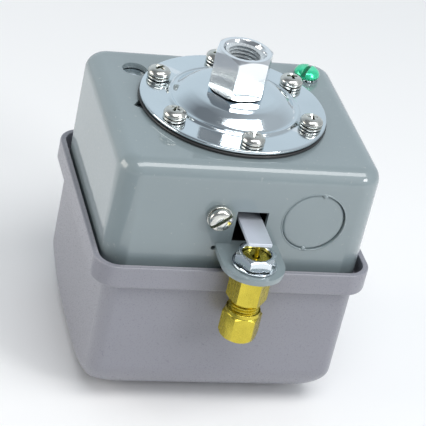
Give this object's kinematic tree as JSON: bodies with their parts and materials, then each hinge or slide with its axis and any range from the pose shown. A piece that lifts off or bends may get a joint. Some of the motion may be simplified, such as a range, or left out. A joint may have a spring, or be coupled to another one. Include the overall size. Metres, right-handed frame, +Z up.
{
  "type": "pressure switch",
  "caption": "Diaphragm pressure switch with hex threaded port on a round screwed flange, enamelled steel case, plastic cover and a brass lever-operated release valve.",
  "frame": {"origin": "middle of the bounding box's footprint, on the ground the cover's curved end stands on", "axes": "+Z up along the port, away from the cover; -Y towards the front wall with the release valve; +X to the right seen from the front, towards the conduit knockout"},
  "size_m": [0.099, 0.1068, 0.1224],
  "materials": {
    "enamel": "grey-green baked gloss enamel on drawn steel",
    "cover_plastic": "moulded thermoset plastic, semi-matte dark grey",
    "zinc": "bright bluish zinc plate on steel",
    "screw_steel": "zinc-plated steel fastener, slightly yellow",
    "lever_steel": "plain grey rolled steel strip",
    "brass": "turned brass",
    "green_screw": "green-dyed plated steel",
    "rubber": "black nitrile sheet",
    "phenolic": "black moulded phenolic",
    "spring_steel": "oiled spring wire",
    "silver": "silver-faced copper strip"
  },
  "bodies": {
    "cover": {"cover": "cover_plastic"},
    "case": {"block_screw_1": "screw_steel", "block_screw_2": "screw_steel", "carrier_spring": "spring_steel", "case": "enamel", "contact_block": "phenolic", "cover_post": "zinc", "diaphragm": "rubber", "differential_spring": "spring_steel", "differential_stud": "zinc", "ferrule": "brass", "flange_lock_washer_1": "screw_steel", "flange_lock_washer_2": "screw_steel", "flange_lock_washer_3": "screw_steel", "flange_lock_washer_4": "screw_steel", "flange_lock_washer_5": "screw_steel", "flange_lock_washer_6": "screw_steel", "flange_screw_1": "screw_steel", "flange_screw_2": "screw_steel", "flange_screw_3": "screw_steel", "flange_screw_4": "screw_steel", "flange_screw_5": "screw_steel", "flange_screw_6": "screw_steel", "front_screw": "screw_steel", "front_washer": "screw_steel", "ground_lock_washer": "zinc", "ground_screw": "green_screw", "knockout_slug": "enamel", "mechanism_frame": "zinc", "pivot_pin": "spring_steel", "port_fitting": "zinc", "pressure_flange": "zinc", "range_seat": "zinc", "range_spring": "spring_steel", "range_stud": "zinc", "terminal_1": "brass", "terminal_2": "brass", "terminal_3": "brass", "terminal_4": "brass", "terminal_screw_1": "screw_steel", "terminal_screw_2": "screw_steel", "terminal_screw_3": "screw_steel", "terminal_screw_4": "screw_steel", "valve_body": "brass", "valve_lock_washer": "zinc", "valve_nut": "zinc", "valve_spring": "spring_steel"},
    "lever": {"main_lever": "zinc", "release_lever": "lever_steel", "lever_rivet": "zinc"},
    "piston": {"piston": "phenolic"},
    "valve_pin": {"valve_pin": "brass"},
    "contact_carrier": {"contact_carrier": "phenolic", "moving_contact_1": "silver", "moving_contact_2": "silver"},
    "range_nut": {"range_nut": "zinc"},
    "differential_nut": {"differential_nut": "zinc"},
    "compression_nut": {"compression_nut": "brass"},
    "cover_nut": {"cover_nut": "zinc"}
  },
  "joints": [
    {"name": "case_lift", "type": "slide", "parent": "cover", "child": "case", "axis": [0, 0, 1], "range_m": [0, 0.06]},
    {"name": "lever_pivot", "type": "hinge", "parent": "case", "child": "lever", "pos_m": [0, 0.03855, 0.076], "axis": [1, 0, 0], "range_deg": [0, 2], "stiffness_Nm_per_rad": 0.6, "springref_deg": -6.88, "deforming": ["range_spring", "differential_spring"]},
    {"name": "piston_slide", "type": "slide", "parent": "case", "child": "piston", "axis": [0, 0, -1], "range_m": [0, 0.0011]},
    {"name": "valve_pin_slide", "type": "slide", "parent": "case", "child": "valve_pin", "axis": [0, 0, -1], "range_m": [0, 0.0029], "deforming": ["valve_spring"]},
    {"name": "contact_slide", "type": "slide", "parent": "case", "child": "contact_carrier", "axis": [0, 0, -1], "range_m": [0, 0.0016], "deforming": ["carrier_spring"]},
    {"name": "range_nut_turn", "type": "hinge", "parent": "case", "child": "range_nut", "pos_m": [-0.016, 0.02055, 0.0464], "axis": [0, 0, 1], "continuous": true},
    {"name": "differential_nut_turn", "type": "hinge", "parent": "case", "child": "differential_nut", "pos_m": [0.016, 0.02055, 0.0551], "axis": [0, 0, 1], "continuous": true},
    {"name": "compression_nut_turn", "type": "hinge", "parent": "case", "child": "compression_nut", "pos_m": [0.0019, -0.04335, 0.0439], "axis": [0, 0, 1], "continuous": true},
    {"name": "cover_nut_turn", "type": "hinge", "parent": "cover", "child": "cover_nut", "pos_m": [0, 0.02755, 0.0065], "axis": [0, 0, 1], "continuous": true}
  ],
  "couplings": [
    {"joint": "piston_slide", "follows": "lever_pivot", "m_per_rad": 0.03},
    {"joint": "valve_pin_slide", "follows": "lever_pivot", "m_per_rad": 0.0819},
    {"joint": "contact_slide", "follows": "lever_pivot", "m_per_rad": 0.044}
  ]
}
